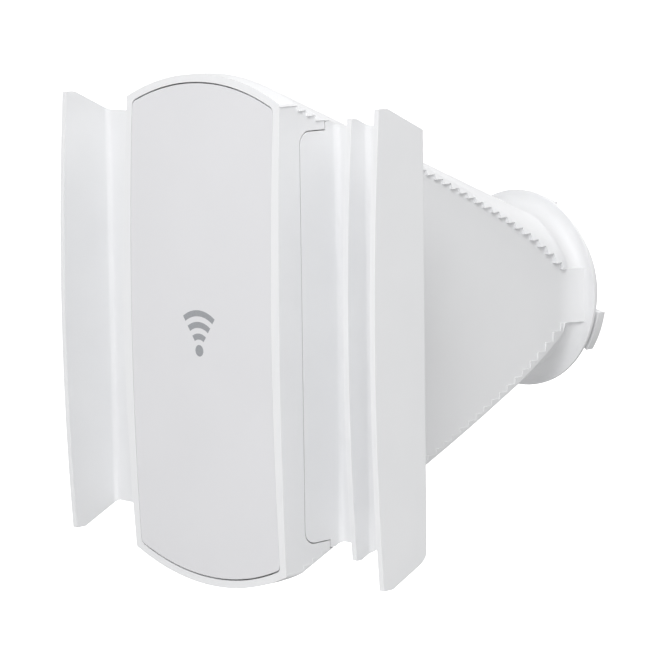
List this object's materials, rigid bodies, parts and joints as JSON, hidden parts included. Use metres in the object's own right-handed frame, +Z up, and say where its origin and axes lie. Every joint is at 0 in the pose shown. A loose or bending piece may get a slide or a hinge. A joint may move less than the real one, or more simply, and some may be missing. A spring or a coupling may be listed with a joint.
{
  "type": "sector horn antenna",
  "caption": "White conical horn antenna of an outdoor wireless bridge: flat stepped sides, covered mouth, finned choke flanges and a twist-lock ring for the radio.",
  "frame": {"origin": "on the horn's axis, in the rear face that meets the radio", "axes": "+Y along the horn's axis towards the radio, +Z up, +X to the right seen from the front; the mouth faces -Y"},
  "size_m": [0.2146, 0.231, 0.2386],
  "materials": {
    "white_shell": "UV-stable white, fine moulded texture",
    "white_cover": "smooth satin white",
    "white_collar": "satin white",
    "cast_metal": "die-cast, machined faces",
    "stainless": "bright stainless",
    "black_rubber": "matt black",
    "grey_plastic": "matt grey"
  },
  "bodies": {
    "horn": {"horn_shell": "white_shell", "radome_cover": "white_cover", "radome_gasket": "black_rubber", "vent_plug": "grey_plastic", "choke_flange_right": "white_shell", "choke_flange_left": "white_shell", "choke_screw_right_1": "stainless", "choke_screw_right_2": "stainless", "choke_screw_right_3": "stainless", "choke_screw_left_1": "stainless", "choke_screw_left_2": "stainless", "choke_screw_left_3": "stainless", "horn_funnel": "cast_metal", "funnel_screw_1": "stainless", "funnel_screw_2": "stainless", "funnel_screw_3": "stainless", "funnel_screw_4": "stainless", "throat_waveguide": "cast_metal", "waveguide_screw_1": "stainless", "waveguide_screw_2": "stainless", "waveguide_screw_3": "stainless", "waveguide_screw_4": "stainless", "rear_collar": "white_collar", "collar_screw_1": "stainless", "collar_screw_2": "stainless", "collar_screw_3": "stainless", "alignment_pin_1": "stainless", "alignment_pin_2": "stainless", "rear_seal": "black_rubber", "wave_washer": "stainless"},
    "ring": {"lock_ring": "white_collar"}
  },
  "joints": [
    {"name": "lock_ring_turn", "type": "hinge", "parent": "horn", "child": "ring", "pos_m": [0, 0, 0], "axis": [0, -1, 0], "range_deg": [0, 32]}
  ]
}
